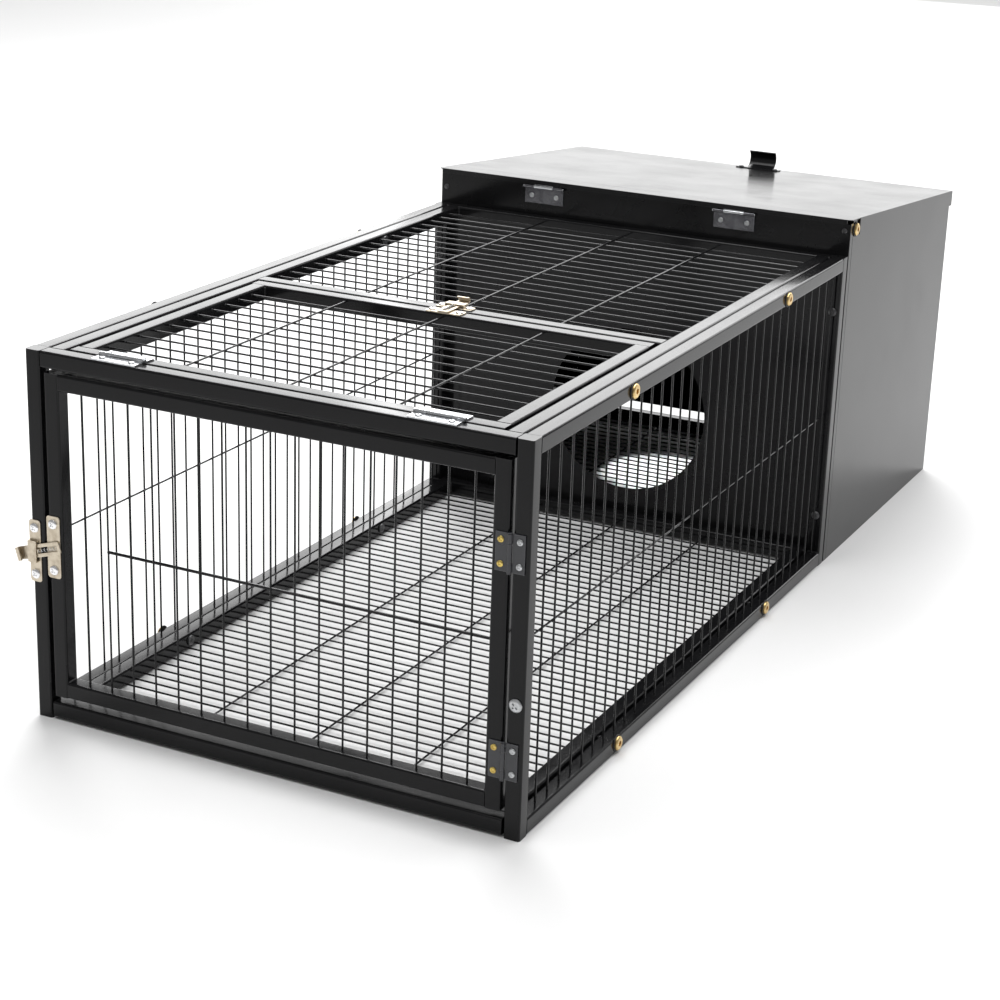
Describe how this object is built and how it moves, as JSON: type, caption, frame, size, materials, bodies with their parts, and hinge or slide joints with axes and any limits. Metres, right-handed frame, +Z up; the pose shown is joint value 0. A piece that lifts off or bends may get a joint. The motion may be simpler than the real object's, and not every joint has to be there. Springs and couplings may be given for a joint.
{
  "type": "small animal run with sleeping house",
  "caption": "Low mesh run with a front door and a top hatch, joined to a sheet-metal sleeping house with a round doorway and a hinged sloping lid.",
  "frame": {"origin": "on the ground, in the middle of the enclosure's plan", "axes": "+Y from the front door towards the house, +X to the right seen from the front, +Z up"},
  "size_m": [0.5397, 1.2279, 0.41],
  "materials": {
    "black_gloss_paint": "glossy black powder coat",
    "black_hinge": "black plated steel, semi-gloss",
    "silver_hinge": "bright zinc-plated steel",
    "nickel_latch": "nickel-plated pressed steel",
    "bright_screw": "bright plated screw",
    "zinc_screw": "zinc-plated steel",
    "yellow_zinc": "yellow-passivated zinc",
    "black_screw": "black finished steel",
    "spring_steel": "bright spring wire",
    "brass": "plain brass",
    "black_rubber": "smooth black washer"
  },
  "bodies": {
    "frame": {"left_side_panel": "black_gloss_paint", "right_side_panel": "black_gloss_paint", "top_panel": "black_gloss_paint", "run_floor": "black_gloss_paint", "house_frame": "black_gloss_paint", "house_front_wall": "black_gloss_paint", "house_left_wall": "black_gloss_paint", "house_right_wall": "black_gloss_paint", "house_rear_wall": "black_gloss_paint", "connector_nuts": "brass", "connector_washers": "black_rubber", "connector_bolts": "black_screw", "joining_bolts": "black_screw", "joining_nuts": "black_screw", "post_screw": "zinc_screw", "front_wall_screws": "black_screw", "rear_wall_screws": "black_screw", "post_hinge_leaves": "black_hinge", "post_leaf_screws": "zinc_screw", "door_hinge_pins": "black_hinge", "door_latch_base": "nickel_latch", "door_latch_screws": "bright_screw", "door_bolt_spring": "spring_steel", "roof_hinge_leaves": "silver_hinge", "roof_leaf_screws": "zinc_screw", "hatch_hinge_pins": "silver_hinge", "hatch_latch_base": "nickel_latch", "hatch_latch_screws": "bright_screw", "hatch_bolt_spring": "spring_steel", "wall_hinge_leaves": "silver_hinge", "wall_leaf_screws": "zinc_screw", "lid_hinge_pins": "silver_hinge"},
    "door": {"door_panel": "black_gloss_paint", "door_hinge_leaves": "black_hinge", "door_leaf_screws": "yellow_zinc", "door_strike": "nickel_latch", "door_strike_screws": "bright_screw"},
    "hatch": {"hatch_panel": "black_gloss_paint", "hatch_hinge_leaves": "silver_hinge", "hatch_leaf_screws": "zinc_screw", "hatch_strike": "nickel_latch", "hatch_strike_screws": "bright_screw"},
    "lid": {"lid_shell": "black_gloss_paint", "lid_hinge_leaves": "silver_hinge", "lid_handle": "black_gloss_paint", "lid_handle_rivets": "black_screw"},
    "door_latch": {"door_bolt": "nickel_latch"},
    "hatch_latch": {"hatch_bolt": "nickel_latch"}
  },
  "joints": [
    {"name": "door_swing", "type": "hinge", "parent": "frame", "child": "door", "pos_m": [0.242, -0.6123, 0.171], "axis": [0, 0, 1], "range_deg": [0, 170]},
    {"name": "hatch_swing", "type": "hinge", "parent": "frame", "child": "hatch", "pos_m": [0, -0.593, 0.3703], "axis": [1, 0, 0], "range_deg": [0, 165]},
    {"name": "lid_swing", "type": "hinge", "parent": "frame", "child": "lid", "pos_m": [0, 0.19475, 0.4015], "axis": [1, 0, 0], "range_deg": [0, 170]},
    {"name": "door_latch_slide", "type": "slide", "parent": "frame", "child": "door_latch", "axis": [-0.9563, 0, -0.2924], "range_m": [0, 0.0175], "stiffness_N_per_m": 120, "springref_m": -0.01, "deforming": ["door_bolt_spring"]},
    {"name": "hatch_latch_slide", "type": "slide", "parent": "frame", "child": "hatch_latch", "axis": [0, 1, 0], "range_m": [0, 0.0175], "stiffness_N_per_m": 120, "springref_m": -0.01, "deforming": ["hatch_bolt_spring"]}
  ]
}
